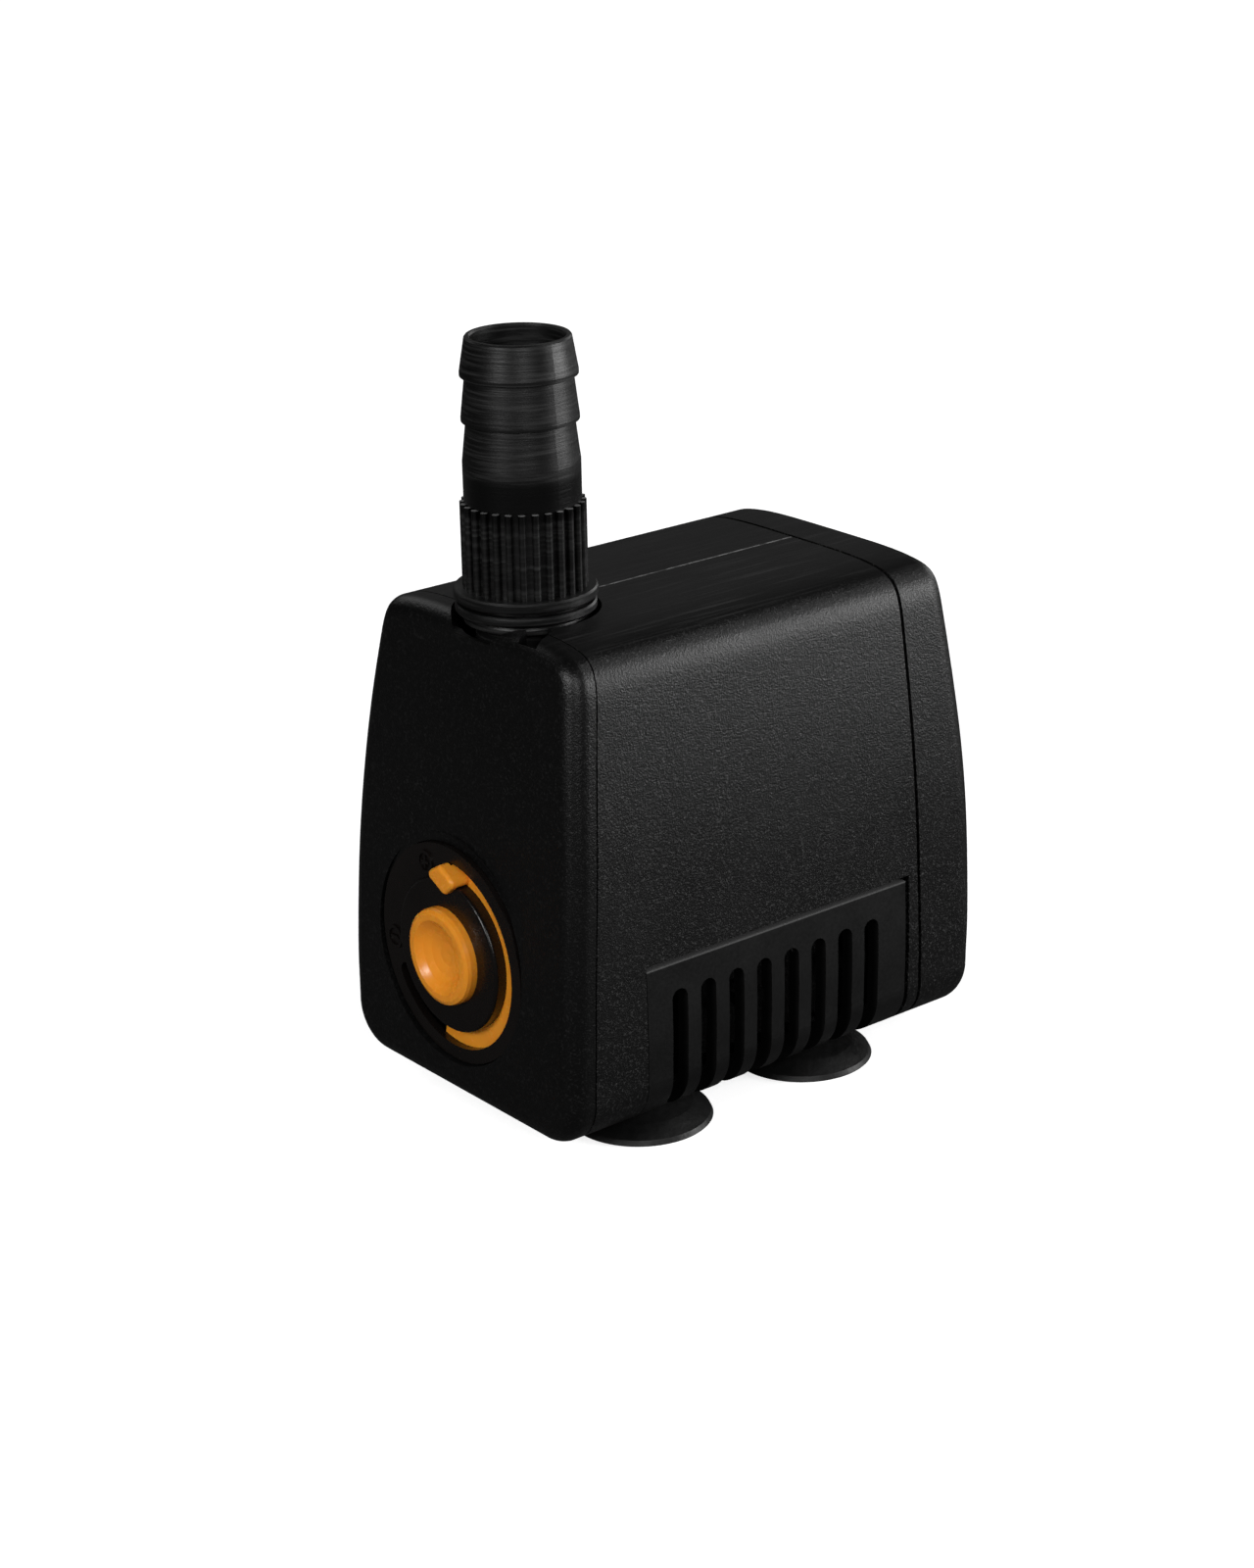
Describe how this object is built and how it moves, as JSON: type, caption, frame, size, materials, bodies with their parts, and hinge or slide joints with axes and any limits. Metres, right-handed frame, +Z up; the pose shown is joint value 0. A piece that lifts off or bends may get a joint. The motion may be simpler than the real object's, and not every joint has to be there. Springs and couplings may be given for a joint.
{
  "type": "submersible fountain pump",
  "caption": "Small black submersible fountain pump with an upright barbed hose tail, side intake slots, an orange rotary flow regulator and suction-cup feet.",
  "frame": {"origin": "centre of the bounding box's base, on the plane of the suction cup lips", "axes": "+Z up along the hose tail, the front cover with the regulator faces -Y, the cable gland faces +Y, +X to the right seen from the front"},
  "size_m": [0.0454, 0.0746, 0.0971],
  "materials": {
    "housing_plastic": "fine grained satin black",
    "cover_plastic": "spark-eroded satin black",
    "strainer_plastic": "satin black",
    "dial_plastic": "semi-gloss black",
    "orange_plastic": "semi-gloss orange",
    "inner_plastic": "smooth black",
    "seal_rubber": "smooth black",
    "impeller_plastic": "smooth off-white",
    "ferrite": "ground dark grey",
    "shaft_steel": "ground",
    "core_steel": "stamped laminations",
    "bobbin_plastic": "white nylon",
    "copper_wire": "enamelled copper",
    "resin": "cast black resin",
    "gland_rubber": "satin black",
    "tail_plastic": "satin black",
    "cup_rubber": "mottled semi-gloss black"
  },
  "bodies": {
    "pump_base": {"motor_housing": "housing_plastic", "rear_cover": "cover_plastic", "intake_strainer": "strainer_plastic", "chamber_cover": "inner_plastic", "pump_chamber": "inner_plastic", "chamber_o_ring": "seal_rubber", "rotor_shaft": "shaft_steel", "front_bush": "seal_rubber", "rear_bush": "seal_rubber", "stator_core": "core_steel", "coil_bobbins": "bobbin_plastic", "coil_windings": "copper_wire", "potting_resin": "resin", "cable_gland": "gland_rubber", "suction_cup_front_left": "cup_rubber", "suction_cup_front_right": "cup_rubber", "suction_cup_rear_left": "cup_rubber", "suction_cup_rear_right": "cup_rubber"},
    "front_cover_unit": {"front_cover": "cover_plastic", "dial_plate": "dial_plastic"},
    "regulator": {"flow_regulator": "orange_plastic"},
    "rotor": {"impeller": "impeller_plastic", "rotor_magnet": "ferrite"},
    "tail_seal": {"tail_o_ring": "seal_rubber"},
    "tail": {"hose_tail": "tail_plastic"}
  },
  "joints": [
    {"name": "rotor_spin", "type": "hinge", "parent": "pump_base", "child": "rotor", "pos_m": [-0.0013, -0.01, 0.02215], "axis": [0, -1, 0], "continuous": true},
    {"name": "front_cover_pull", "type": "slide", "parent": "pump_base", "child": "front_cover_unit", "axis": [0, -1, 0], "range_m": [0, 0.03]},
    {"name": "regulator_turn", "type": "hinge", "parent": "front_cover_unit", "child": "regulator", "pos_m": [-0.0013, -0.0345, 0.02215], "axis": [0, 1, 0], "range_deg": [0, 215]},
    {"name": "tail_lift", "type": "slide", "parent": "pump_base", "child": "tail_seal", "axis": [0, 0, 1], "range_m": [0, 0.0081]},
    {"name": "tail_turn", "type": "hinge", "parent": "tail_seal", "child": "tail", "pos_m": [0, -0.023, 0.06], "axis": [0, 0, 1], "range_deg": [0, 1440]}
  ],
  "couplings": [
    {"joint": "tail_lift", "follows": "tail_turn", "m_per_rad": 0.00031831}
  ]
}
